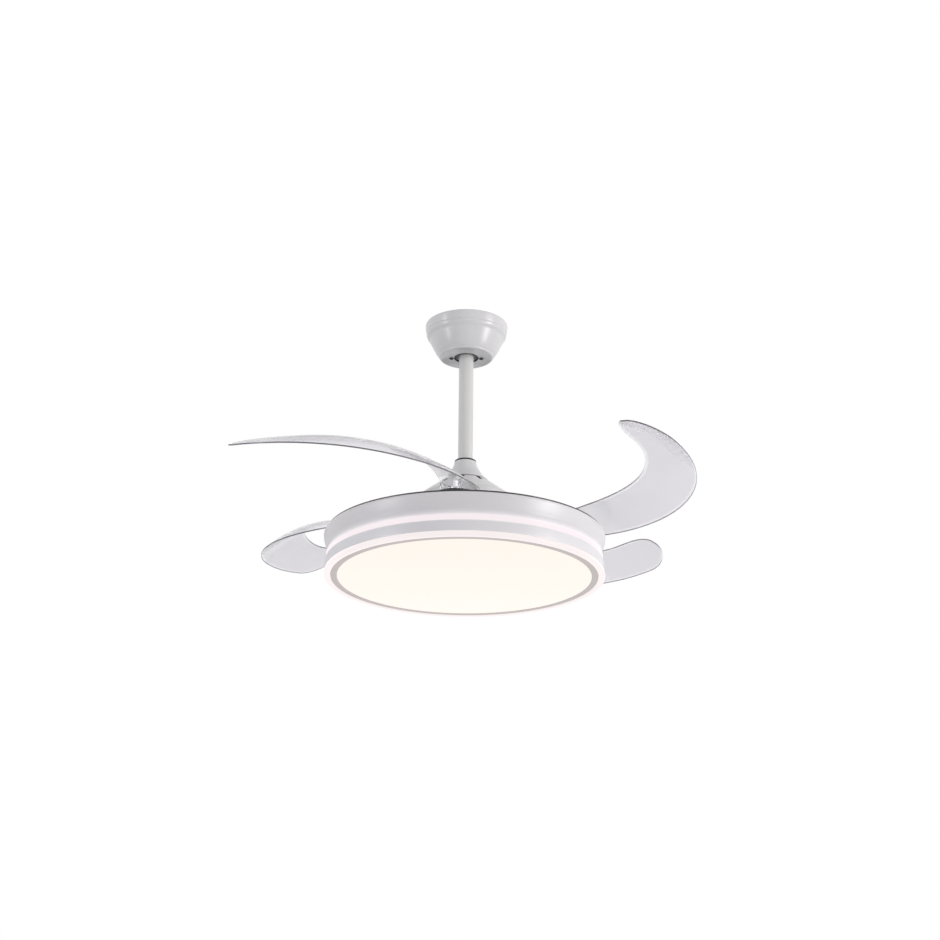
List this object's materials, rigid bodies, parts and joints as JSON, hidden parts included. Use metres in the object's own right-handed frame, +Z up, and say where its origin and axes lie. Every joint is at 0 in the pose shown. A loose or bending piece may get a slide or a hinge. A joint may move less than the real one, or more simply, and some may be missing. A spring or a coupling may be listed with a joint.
{
  "type": "retractable blade ceiling fan",
  "caption": "Ceiling fan with curved clear blades that swing out over a round drum lamp, hung from a bell canopy by a rod.",
  "frame": {"origin": "on the ceiling, at the fan's axis, on the ceiling bracket's upper face", "axes": "+Z up, out of the bracket's upper face; the fan's axis is Z; the pictured side is -Y"},
  "size_m": [0.7792, 0.7792, 0.4966],
  "materials": {
    "whitePaint": "satin white paint",
    "whitePlastic": "white plastic",
    "glow": "frosted, lit from behind",
    "greyTrim": "satin grey",
    "clear": "clear, slightly smoky",
    "black": "black",
    "steel": "zinc-plated",
    "nylon": "natural nylon",
    "copper": "enamelled copper wire",
    "circuit": "white board",
    "rubber": "matt black"
  },
  "bodies": {
    "ceiling": {"ceiling_bracket": "steel", "canopy": "whitePaint", "canopy_screw_left": "black", "canopy_screw_right": "black", "receiver_box": "whitePlastic", "terminal_block": "nylon"},
    "ball": {"hanger_ball": "whitePlastic"},
    "hanging": {"hanger_pin": "steel", "downrod": "whitePaint", "rod_seal_ring": "rubber", "coupling": "steel", "clevis_pin": "steel", "coupling_bell": "whitePaint", "motor_cover": "whitePaint", "motor_shaft": "steel", "stator_hub": "steel", "stator_core": "steel", "stator_windings": "copper", "lamp_hanger_plate": "steel", "lamp_top_plate": "black", "shaft_nut": "steel", "lamp_drum": "whitePaint", "halo_ring": "glow", "lower_band": "whitePaint", "bottom_ring": "glow", "trim_ring": "greyTrim", "diffuser": "glow", "led_board": "circuit", "led_driver": "whitePlastic", "lamp_plate_screw_1": "steel", "lamp_plate_screw_2": "steel", "lamp_plate_screw_3": "steel", "led_standoff_1": "steel", "led_standoff_2": "steel", "led_standoff_3": "steel", "led_standoff_4": "steel"},
    "rotor": {"blade_carrier": "black", "rotor_bell": "steel", "magnet_ring": "black", "lower_bearing": "steel", "upper_bearing": "steel", "gear_retainer": "steel"},
    "sun": {"sun_gear": "nylon"},
    "arm_1": {"blade_1": "clear", "blade_gear_1": "nylon", "return_spring_1": "steel", "pivot_bolt_1": "steel"},
    "arm_2": {"blade_2": "clear", "blade_gear_2": "nylon", "return_spring_2": "steel", "pivot_bolt_2": "steel"},
    "arm_3": {"blade_3": "clear", "blade_gear_3": "nylon", "return_spring_3": "steel", "pivot_bolt_3": "steel"},
    "arm_4": {"blade_4": "clear", "blade_gear_4": "nylon", "return_spring_4": "steel", "pivot_bolt_4": "steel"}
  },
  "joints": [
    {"name": "ball_tilt", "type": "hinge", "parent": "ceiling", "child": "ball", "pos_m": [0, 0, -0.044], "axis": [0, 1, 0], "range_deg": [-8, 8]},
    {"name": "rod_tilt", "type": "hinge", "parent": "ball", "child": "hanging", "pos_m": [0, 0, -0.044], "axis": [1, 0, 0], "range_deg": [-6, 6]},
    {"name": "rotor_spin", "type": "hinge", "parent": "hanging", "child": "rotor", "pos_m": [0, 0, -0.3929], "axis": [0, 0, 1], "continuous": true},
    {"name": "sun_gear_turn", "type": "hinge", "parent": "rotor", "child": "sun", "pos_m": [0, 0, -0.4089], "axis": [0, 0, 1], "range_deg": [0, 67.4]},
    {"name": "blade_1_fold", "type": "hinge", "parent": "rotor", "child": "arm_1", "pos_m": [0.16125, -0.01553, -0.4089], "axis": [0, 0, 1], "range_deg": [-98, 0], "stiffness_Nm_per_rad": 0.15, "springref_deg": -108.86},
    {"name": "blade_2_fold", "type": "hinge", "parent": "rotor", "child": "arm_2", "pos_m": [0.01553, 0.16125, -0.4089], "axis": [0, 0, 1], "range_deg": [-98, 0], "stiffness_Nm_per_rad": 0.15, "springref_deg": -108.86},
    {"name": "blade_3_fold", "type": "hinge", "parent": "rotor", "child": "arm_3", "pos_m": [-0.16125, 0.01553, -0.4089], "axis": [0, 0, 1], "range_deg": [-98, 0], "stiffness_Nm_per_rad": 0.15, "springref_deg": -108.86},
    {"name": "blade_4_fold", "type": "hinge", "parent": "rotor", "child": "arm_4", "pos_m": [-0.01553, -0.16125, -0.4089], "axis": [0, 0, 1], "range_deg": [-98, 0], "stiffness_Nm_per_rad": 0.15, "springref_deg": -108.86}
  ],
  "couplings": [
    {"joint": "blade_2_fold", "follows": "blade_1_fold", "ratio": 1},
    {"joint": "blade_3_fold", "follows": "blade_1_fold", "ratio": 1},
    {"joint": "blade_4_fold", "follows": "blade_1_fold", "ratio": 1},
    {"joint": "sun_gear_turn", "follows": "blade_1_fold", "ratio": -0.6875}
  ]
}
